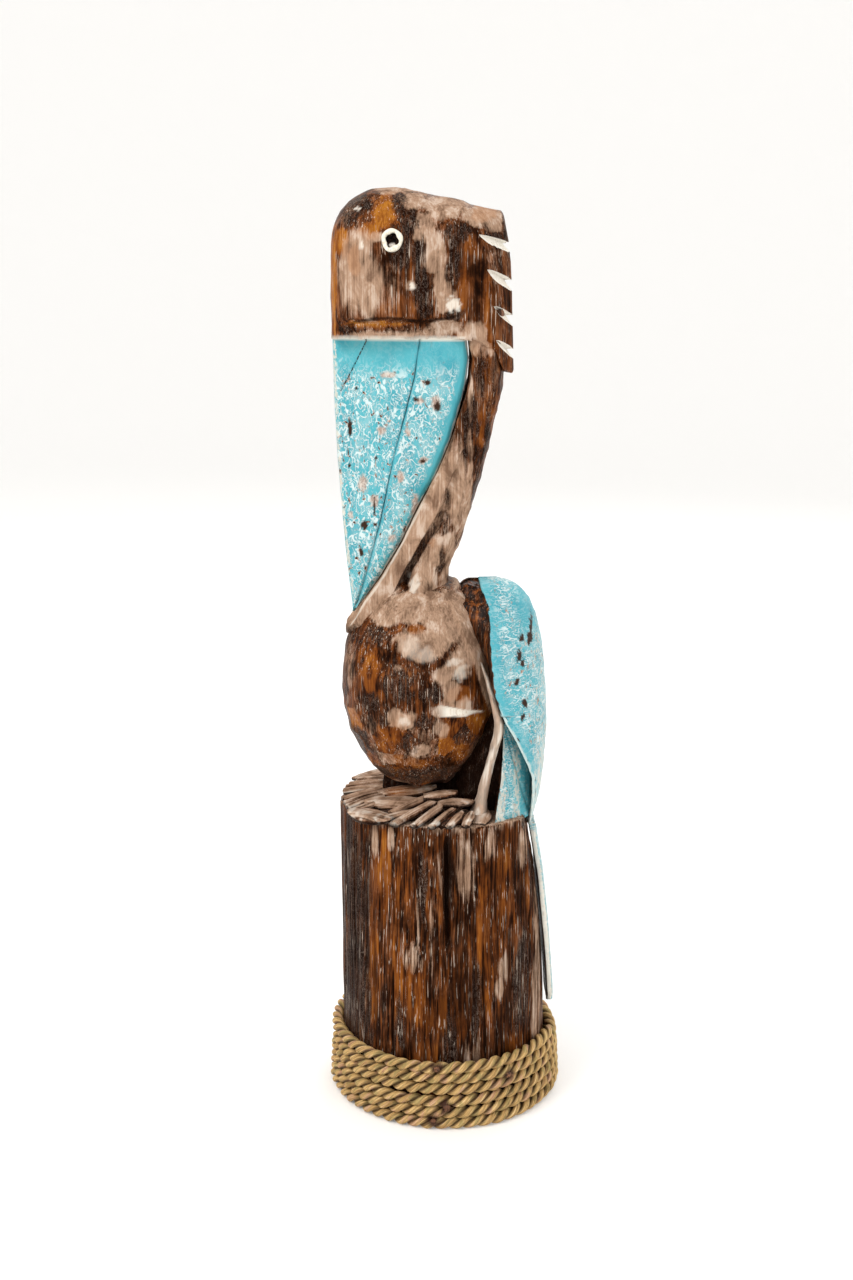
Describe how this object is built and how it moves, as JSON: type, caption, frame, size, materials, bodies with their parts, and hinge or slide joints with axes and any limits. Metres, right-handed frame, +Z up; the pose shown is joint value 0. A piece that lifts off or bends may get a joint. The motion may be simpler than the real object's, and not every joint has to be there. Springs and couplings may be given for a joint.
{
  "type": "carved pelican figure",
  "caption": "Carved and painted wooden pelican perched on a log post, with a turquoise bill, folded wings and tail, and a rope-bound foot.",
  "frame": {"origin": "centre of the post's underside, on the surface that the figure stands on", "axes": "+Z up the post, -Y the way the bird faces, +X towards the bird's left wing"},
  "size_m": [0.1326, 0.1326, 0.4997],
  "materials": {
    "post_wood": "stained near black and burnt orange, rubbed with thin whitewash, satin varnish",
    "dark_wood": "very dark stain, satin varnish",
    "torso_wood": "gouged, stained dark brown, rubbed with whitewash, glossy varnish",
    "neck_wood": "dark stain under rubbed whitewash, satin varnish",
    "head_wood": "stained dark and amber, rubbed with whitewash, satin varnish",
    "bill_paint": "turquoise paint on wood, crackled white, chipped, satin",
    "wing_paint": "turquoise paint on wood, crackled white, chipped, satin",
    "foot_wood": "carved, stained brown, rubbed with whitewash, satin",
    "eye_paint": "cream enamel",
    "seagrass_rope": "twisted dry seagrass, matt",
    "tack_steel": "rusty brown",
    "dowel_wood": "raw, unfinished"
  },
  "bodies": {
    "root": {"post": "post_wood", "rump": "dark_wood", "torso": "torso_wood", "neck": "neck_wood", "head": "head_wood", "crest": "head_wood", "bill_upper": "bill_paint", "bill_pouch": "bill_paint", "wing_left": "wing_paint", "wing_right": "wing_paint", "covert_left": "wing_paint", "covert_right": "wing_paint", "tail": "wing_paint", "leg_left": "foot_wood", "leg_right": "foot_wood", "foot_left": "foot_wood", "foot_right": "foot_wood", "eye_ring_left": "eye_paint", "eye_ring_right": "eye_paint", "eye_peg_left": "dark_wood", "eye_peg_right": "dark_wood", "rope_wrap": "seagrass_rope", "rope_tacks": "tack_steel", "neck_dowel": "dowel_wood", "head_dowel": "dowel_wood", "rump_dowels": "dowel_wood", "wing_dowels": "dowel_wood", "tail_pins": "tack_steel"}
  },
  "joints": []
}
